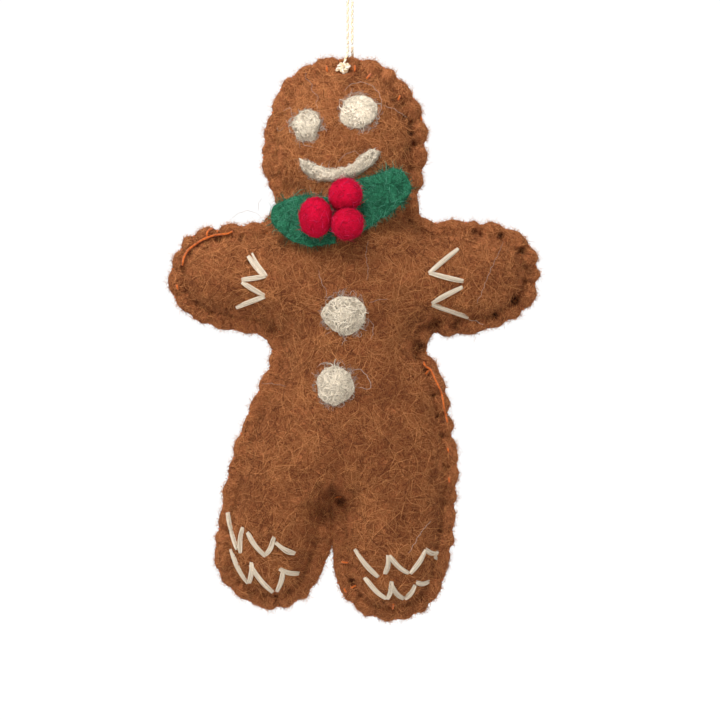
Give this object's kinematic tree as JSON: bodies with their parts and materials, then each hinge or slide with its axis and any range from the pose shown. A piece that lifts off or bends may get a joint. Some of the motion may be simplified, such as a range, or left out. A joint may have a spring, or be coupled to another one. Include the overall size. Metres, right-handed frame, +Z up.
{
  "type": "felt christmas ornament",
  "caption": "Stuffed felt gingerbread figure with blanket-stitched lobed edge, felted face and buttons, holly sprig and a thread loop to hang it by.",
  "frame": {"origin": "inside of the hanging loop's top, where a twig or a hook bears", "axes": "+Z up along the figure, from the feet to the loop; the face looks towards -Y; +X to the right as one looks at the face"},
  "size_m": [0.0828, 0.0365, 0.1826],
  "materials": {
    "brown_felt": "wool felt, matt and hairy",
    "stuffing_fibre": "loose fibre filling, matt",
    "seam_yarn": "matt sewing thread",
    "cream_wool": "needle-felted wool, matt",
    "green_felt": "wool felt, matt and hairy",
    "red_felt": "felted wool balls, matt",
    "cream_floss": "stranded cotton, low sheen",
    "cream_cord": "twisted cotton thread, low sheen"
  },
  "bodies": {
    "loop": {"hanging_loop": "cream_cord"},
    "stem": {"strand_left": "cream_cord", "strand_right": "cream_cord"},
    "eye": {"loop_knot": "cream_cord"},
    "figure": {"front_panel": "brown_felt", "back_panel": "brown_felt", "stuffing_head": "stuffing_fibre", "stuffing_torso": "stuffing_fibre", "stuffing_arm_left": "stuffing_fibre", "stuffing_arm_right": "stuffing_fibre", "stuffing_leg_left": "stuffing_fibre", "stuffing_leg_right": "stuffing_fibre", "seam_thread": "seam_yarn", "eye_left": "cream_wool", "eye_right": "cream_wool", "smile": "cream_wool", "button_upper": "cream_wool", "button_lower": "cream_wool", "leaf_left": "green_felt", "leaf_right": "green_felt", "berry_top": "red_felt", "berry_left": "red_felt", "berry_lower": "red_felt", "wrist_floss_left": "cream_floss", "wrist_floss_right": "cream_floss", "foot_floss_left_upper": "cream_floss", "foot_floss_left_lower": "cream_floss", "foot_floss_right_upper": "cream_floss", "foot_floss_right_lower": "cream_floss"}
  },
  "joints": [
    {"name": "figure_twist", "type": "hinge", "parent": "loop", "child": "stem", "pos_m": [0, 0, -0.034], "axis": [0, 0, 1], "range_deg": [-180, 180]},
    {"name": "figure_nod", "type": "hinge", "parent": "stem", "child": "eye", "pos_m": [0, 0, -0.0518], "axis": [1, 0, 0], "range_deg": [-60, 60]},
    {"name": "figure_sway", "type": "hinge", "parent": "eye", "child": "figure", "pos_m": [-0.00045, 0, -0.05635], "axis": [0, 1, 0], "range_deg": [-40, 40]}
  ]
}
